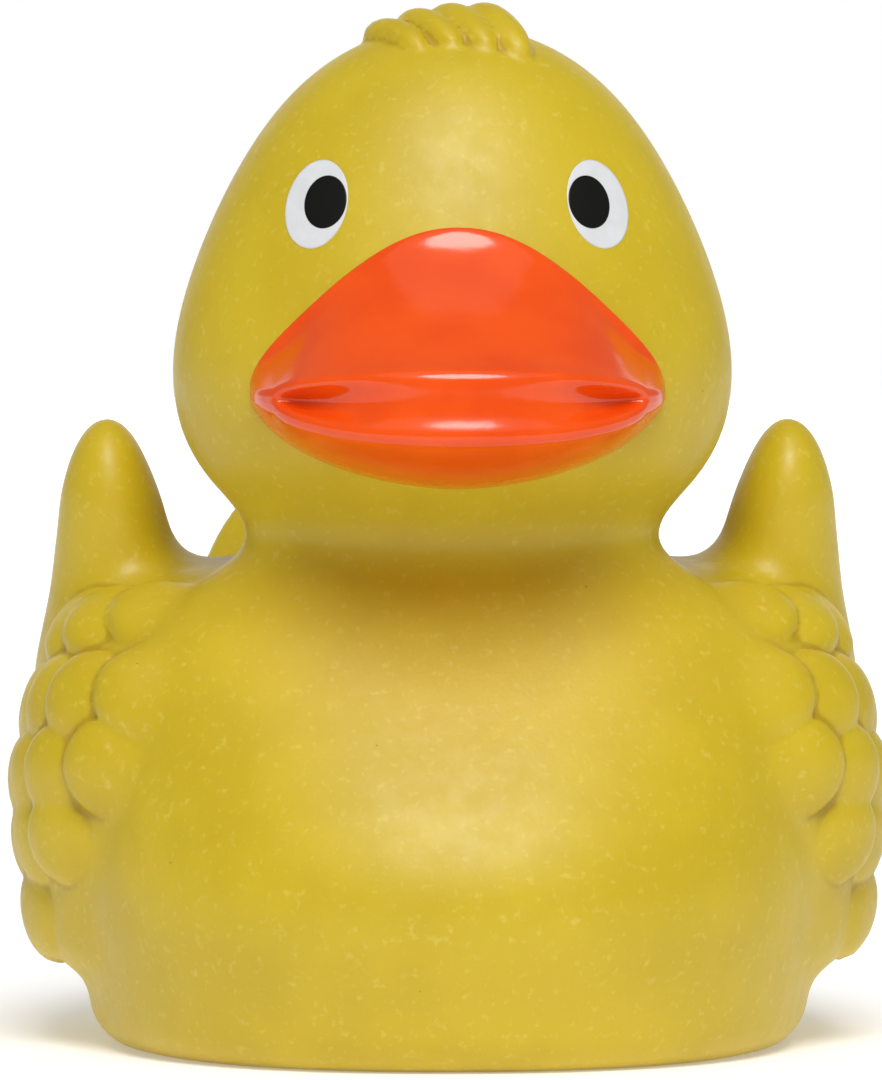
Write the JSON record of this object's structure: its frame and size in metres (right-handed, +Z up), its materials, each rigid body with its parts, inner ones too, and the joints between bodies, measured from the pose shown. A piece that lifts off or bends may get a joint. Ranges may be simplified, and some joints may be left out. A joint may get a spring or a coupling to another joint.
{
  "type": "rubber duck",
  "caption": "Bath duck with a flat base, feathered wings with upright tips, a broad upturned tail, a crest on the crown and a wide flared bill; a toy that stands or floats.",
  "frame": {"origin": "on the base plane, under the middle of the bounding box", "axes": "+Z up from the base, -Y the way the bill points, +X to the duck's left"},
  "size_m": [0.0736, 0.0772, 0.0862],
  "materials": {
    "skin": "satin",
    "bill_lacquer": "gloss",
    "eye_white": "satin",
    "eye_black": "satin"
  },
  "bodies": {
    "root": {"duck": "skin"}
  },
  "joints": []
}
